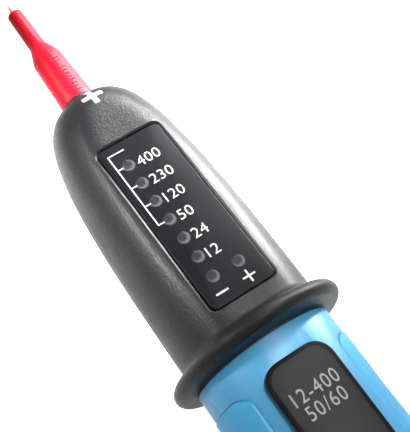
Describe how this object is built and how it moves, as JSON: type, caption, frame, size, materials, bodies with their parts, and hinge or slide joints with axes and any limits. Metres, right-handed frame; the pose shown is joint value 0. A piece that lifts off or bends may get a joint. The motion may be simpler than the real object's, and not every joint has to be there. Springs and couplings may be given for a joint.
{
  "type": "two-pole voltage tester",
  "caption": "Hand-held voltage tester with an LED display head, a finger guard, a padded handle and a sleeved test needle; the cable is left out.",
  "frame": {"origin": "in the plane that the tester rests on, straight below the middle of the finger guard", "axes": "+Y along the tester towards the needle, +Z out of the display, X across"},
  "size_m": [0.0646, 0.2718, 0.0597],
  "materials": {
    "black_shell": "fine-grained matt",
    "smoked_window": "dark satin",
    "soft_black": "matt",
    "black_holder": "matt",
    "led_lens": "clear, unlit",
    "board": "solder mask",
    "resistor_body": "lacquered",
    "ptc_body": "lacquered",
    "chip_body": "matt",
    "capacitor_can": "sleeved",
    "terminal_body": "matt",
    "brass": "bright",
    "needle_steel": "satin",
    "red_sleeve": "satin",
    "blue_shell": "satin",
    "label_black": "fine-grained matt",
    "blue_pad": "satin",
    "screw_steel": "zinc plated"
  },
  "bodies": {
    "tester": {"head_front_shell": "black_shell", "head_rear_shell": "black_shell", "display_window": "smoked_window", "window_gasket": "soft_black", "led_holder": "black_holder", "led_400v": "led_lens", "led_230v": "led_lens", "led_120v": "led_lens", "led_50v": "led_lens", "led_24v": "led_lens", "led_12v": "led_lens", "led_minus": "led_lens", "led_plus": "led_lens", "circuit_board": "board", "series_resistors": "resistor_body", "ptc_resistor": "ptc_body", "bridge_rectifier": "chip_body", "comparator_chips": "chip_body", "smoothing_capacitor": "capacitor_can", "cable_terminal": "terminal_body", "contact_strip": "brass", "needle_socket": "brass", "probe_needle": "needle_steel", "collar_gasket": "soft_black", "grip_front_shell": "blue_shell", "grip_rear_shell": "blue_shell", "label_plate": "label_black", "side_grip_left": "blue_pad", "side_grip_right": "blue_pad", "head_screws": "screw_steel", "grip_screws": "screw_steel", "cable_bush": "soft_black"},
    "sleeve": {"probe_sleeve": "red_sleeve"}
  },
  "joints": [
    {"name": "sleeve_slide", "type": "slide", "parent": "tester", "child": "sleeve", "axis": [0, 1, 0], "range_m": [0, 0.053]}
  ]
}
